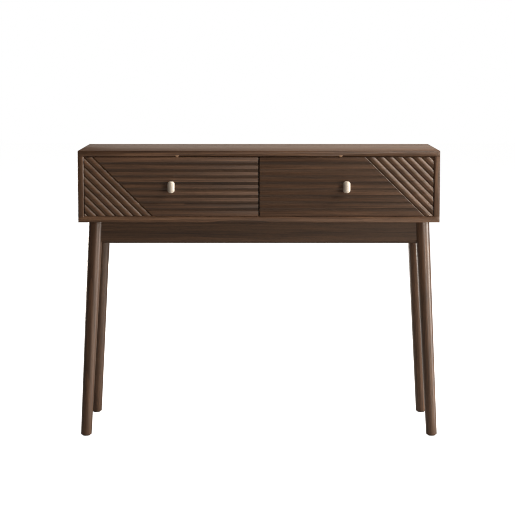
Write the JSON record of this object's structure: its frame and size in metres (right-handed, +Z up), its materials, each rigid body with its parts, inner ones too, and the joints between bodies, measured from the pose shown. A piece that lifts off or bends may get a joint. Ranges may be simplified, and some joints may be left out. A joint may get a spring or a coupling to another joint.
{
  "type": "console table",
  "caption": "Narrow side table on four splayed round legs, with a flat top over a pair of sliding drawers whose fronts carry slanting reeds and upright knobs.",
  "frame": {"origin": "floor level, at the middle of the table's footprint including the knobs", "axes": "+X along the table to the right as seen from the front, -Y towards the front where the drawers open, +Z up"},
  "size_m": [1, 0.376, 0.8],
  "materials": {
    "walnut_veneer": "dark walnut veneer, satin lacquer",
    "walnut_legs": "stained solid wood, satin lacquer",
    "back_board": "walnut foil on thin fibreboard",
    "birch_ply": "clear lacquered birch plywood",
    "beech": "plain beech",
    "zinc_steel": "bright zinc plated steel",
    "knob_glaze": "cream gloss glaze",
    "glide_nylon": "moulded nylon"
  },
  "bodies": {
    "table": {"top_panel": "walnut_veneer", "bottom_panel": "walnut_veneer", "left_side_panel": "walnut_veneer", "right_side_panel": "walnut_veneer", "centre_divider": "walnut_veneer", "back_panel": "back_board", "back_panel_screws": "zinc_steel", "carcass_dowels": "beech", "kicker_pads": "beech", "front_apron": "walnut_veneer", "rear_apron": "walnut_veneer", "left_apron": "walnut_veneer", "right_apron": "walnut_veneer", "front_left_leg": "walnut_legs", "front_right_leg": "walnut_legs", "rear_left_leg": "walnut_legs", "rear_right_leg": "walnut_legs", "leg_glides": "glide_nylon", "corner_blocks": "birch_ply", "corner_block_screws": "zinc_steel", "hanger_bolts": "zinc_steel", "hanger_washers": "zinc_steel", "hanger_nuts": "zinc_steel", "angle_brackets": "zinc_steel", "bracket_screws": "zinc_steel", "left_bay_rails": "zinc_steel", "right_bay_rails": "zinc_steel", "bay_rail_screws": "zinc_steel"},
    "left_drawer": {"left_drawer_front": "walnut_veneer", "left_drawer_inner_front": "birch_ply", "left_drawer_outer_side": "birch_ply", "left_drawer_inner_side": "birch_ply", "left_drawer_back": "birch_ply", "left_drawer_bottom": "birch_ply", "left_drawer_dowels": "beech", "left_drawer_knob": "knob_glaze", "left_knob_screw": "zinc_steel", "left_front_screws": "zinc_steel", "left_drawer_rails": "zinc_steel", "left_drawer_rail_screws": "zinc_steel"},
    "right_drawer": {"right_drawer_front": "walnut_veneer", "right_drawer_inner_front": "birch_ply", "right_drawer_outer_side": "birch_ply", "right_drawer_inner_side": "birch_ply", "right_drawer_back": "birch_ply", "right_drawer_bottom": "birch_ply", "right_drawer_dowels": "beech", "right_drawer_knob": "knob_glaze", "right_knob_screw": "zinc_steel", "right_front_screws": "zinc_steel", "right_drawer_rails": "zinc_steel", "right_drawer_rail_screws": "zinc_steel"},
    "left_cages": {"left_ball_cages": "zinc_steel"},
    "right_cages": {"right_ball_cages": "zinc_steel"}
  },
  "joints": [
    {"name": "left_drawer_slide", "type": "slide", "parent": "table", "child": "left_drawer", "axis": [0, -1, 0], "range_m": [0, 0.225]},
    {"name": "right_drawer_slide", "type": "slide", "parent": "table", "child": "right_drawer", "axis": [0, -1, 0], "range_m": [0, 0.225]},
    {"name": "left_cages_slide", "type": "slide", "parent": "table", "child": "left_cages", "axis": [0, -1, 0], "range_m": [0, 0.1125]},
    {"name": "right_cages_slide", "type": "slide", "parent": "table", "child": "right_cages", "axis": [0, -1, 0], "range_m": [0, 0.1125]}
  ],
  "couplings": [
    {"joint": "left_cages_slide", "follows": "left_drawer_slide", "ratio": 0.5},
    {"joint": "right_cages_slide", "follows": "right_drawer_slide", "ratio": 0.5}
  ]
}
